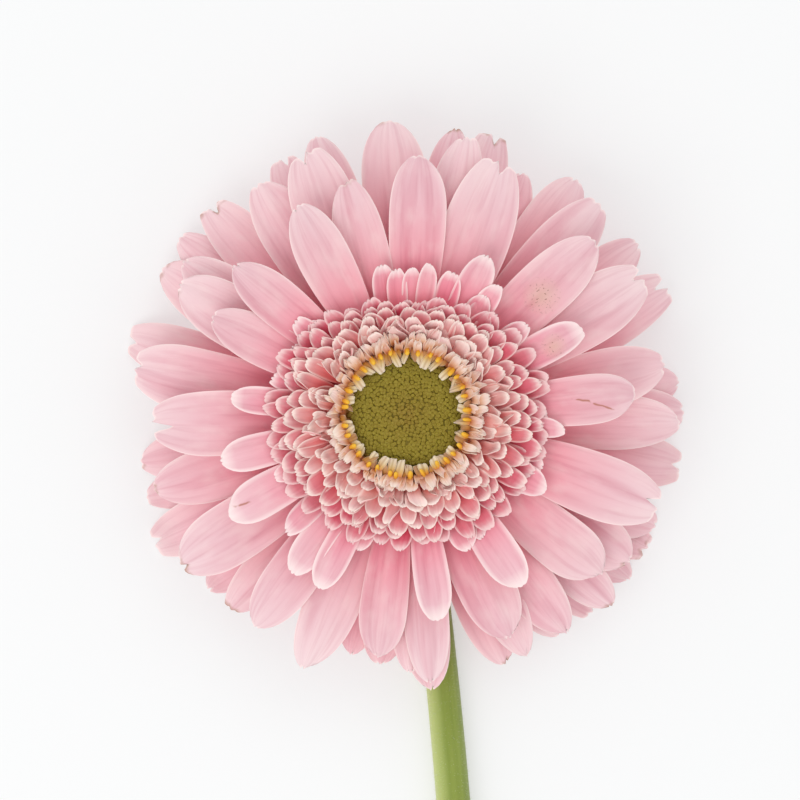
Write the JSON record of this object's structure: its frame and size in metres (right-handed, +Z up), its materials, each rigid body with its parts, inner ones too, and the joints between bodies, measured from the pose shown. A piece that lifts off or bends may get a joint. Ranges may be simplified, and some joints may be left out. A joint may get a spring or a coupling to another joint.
{
  "type": "cut gerbera",
  "caption": "Cut gerbera lying face up: a full pink head with short crested inner florets and a green disc, on a long bare green stem that lies along the surface.",
  "frame": {"origin": "on the surface that the flower lies on, under the middle of the whole flower", "axes": "+Y along the stem toward the head, +Z up out of the flower's face, +X to the right seen from above with the head at the far end"},
  "size_m": [0.11, 0.405, 0.0346],
  "materials": {
    "ray_petal": "matte",
    "trans_petal": "matte",
    "disc_floret": "matte",
    "disc_bud": "matte",
    "bract": "matte",
    "stalk": "satin"
  },
  "bodies": {
    "root": {"ray_florets": "ray_petal", "trans_florets": "trans_petal", "disc_florets": "disc_floret", "disc_buds": "disc_bud", "involucre": "bract", "stem": "stalk"}
  },
  "joints": []
}
